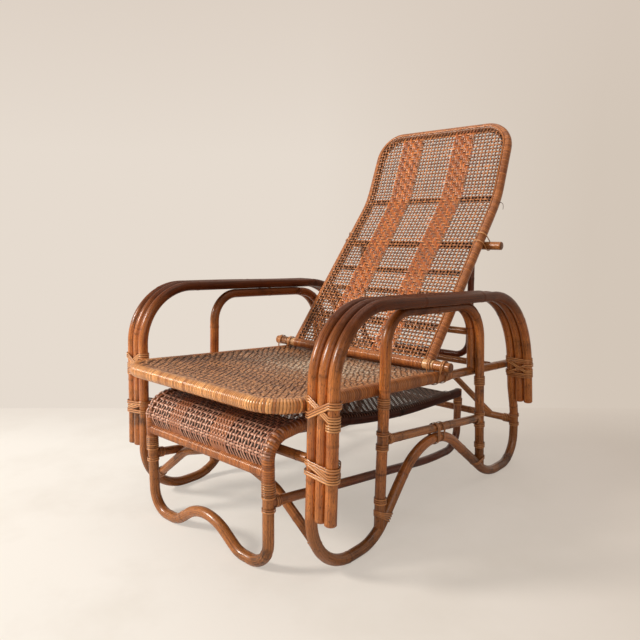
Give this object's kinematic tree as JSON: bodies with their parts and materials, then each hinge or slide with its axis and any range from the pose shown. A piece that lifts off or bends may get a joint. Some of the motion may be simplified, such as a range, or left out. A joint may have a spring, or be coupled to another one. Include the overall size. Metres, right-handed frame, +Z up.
{
  "type": "rattan chaise longue",
  "caption": "Rattan chaise longue of bent lashed poles, with woven cane panels, a back that reclines on a swinging prop, and a footrest that pulls out from under the seat.",
  "frame": {"origin": "centre of the bounding box's base, on the floor", "axes": "+X to the sitter's left, +Y towards the back of the chair, +Z up; the sitter faces -Y"},
  "size_m": [0.739, 1.0315, 1.0172],
  "materials": {
    "tan_rattan": "varnished pole with nodes",
    "red_brown_rattan": "dark varnish over red brown",
    "dark_rattan": "dark aged varnish",
    "honey_rattan": "pole wrapped in flat cane, varnished",
    "woven_cane": "open and dense cane weave, satin",
    "binding_cane": "flat cane strand, satin"
  },
  "bodies": {
    "frame": {"arm_pole_inner_left": "red_brown_rattan", "arm_pole_inner_right": "red_brown_rattan", "arm_pole_middle_left": "red_brown_rattan", "arm_pole_middle_right": "red_brown_rattan", "arm_pole_outer_left": "red_brown_rattan", "arm_pole_outer_right": "red_brown_rattan", "foot_rail_left": "tan_rattan", "foot_rail_right": "tan_rattan", "inner_arch_left": "tan_rattan", "inner_arch_right": "tan_rattan", "lower_side_rail_left": "tan_rattan", "lower_side_rail_right": "tan_rattan", "seat_rail_left": "red_brown_rattan", "seat_rail_right": "red_brown_rattan", "rack_pole_left": "red_brown_rattan", "rack_pole_right": "red_brown_rattan", "front_lashing_left": "binding_cane", "front_lashing_right": "binding_cane", "crossbar_lashing_left": "binding_cane", "crossbar_lashing_right": "binding_cane", "rear_lashing_left": "binding_cane", "rear_lashing_right": "binding_cane", "hinge_loop_left": "binding_cane", "hinge_loop_right": "binding_cane", "seat_rim": "honey_rattan", "seat_rear_bar": "tan_rattan", "seat_panel": "woven_cane", "front_brace": "tan_rattan", "rear_crossbar": "tan_rattan", "rear_brace": "tan_rattan", "prop_rung_upper": "tan_rattan", "prop_rung_lower": "tan_rattan"},
    "backrest": {"hinge_bar": "tan_rattan", "backrest_frame": "honey_rattan", "backrest_panel": "woven_cane", "back_slat_1": "dark_rattan", "back_slat_2": "dark_rattan", "back_slat_3": "dark_rattan", "back_slat_4": "dark_rattan", "peg_bar": "tan_rattan", "peg_lashing_left": "binding_cane", "peg_lashing_right": "binding_cane"},
    "prop": {"prop_bail": "dark_rattan", "prop_sling_left": "binding_cane", "prop_sling_right": "binding_cane"},
    "front_crossbar": {"front_crossbar": "tan_rattan"},
    "footrest": {"footrest_rail_left": "red_brown_rattan", "footrest_rail_right": "red_brown_rattan", "footrest_lower_rail_left": "dark_rattan", "footrest_lower_rail_right": "dark_rattan", "footrest_foot_bow": "tan_rattan", "footrest_front_bar": "honey_rattan", "footrest_rear_bar": "dark_rattan", "footrest_panel": "woven_cane"}
  },
  "joints": [
    {"name": "recline", "type": "hinge", "parent": "frame", "child": "backrest", "pos_m": [0, 0.0585, 0.35786], "axis": [-1, 0, 0], "range_deg": [-17, 15]},
    {"name": "prop_swing", "type": "hinge", "parent": "backrest", "child": "prop", "pos_m": [0, 0.34709, 0.65427], "axis": [-1, 0, 0], "range_deg": [-15, 17]},
    {"name": "footrest_tilt", "type": "hinge", "parent": "frame", "child": "front_crossbar", "pos_m": [0, -0.41079, 0.245], "axis": [1, 0, 0], "range_deg": [0, 6.6]},
    {"name": "footrest_slide", "type": "slide", "parent": "front_crossbar", "child": "footrest", "axis": [0, -0.9916, 0.1294], "range_m": [0, 0.5]}
  ],
  "couplings": [
    {"joint": "prop_swing", "follows": "recline", "ratio": -1},
    {"joint": "footrest_tilt", "follows": "footrest_slide", "rad_per_m": 0.23}
  ]
}
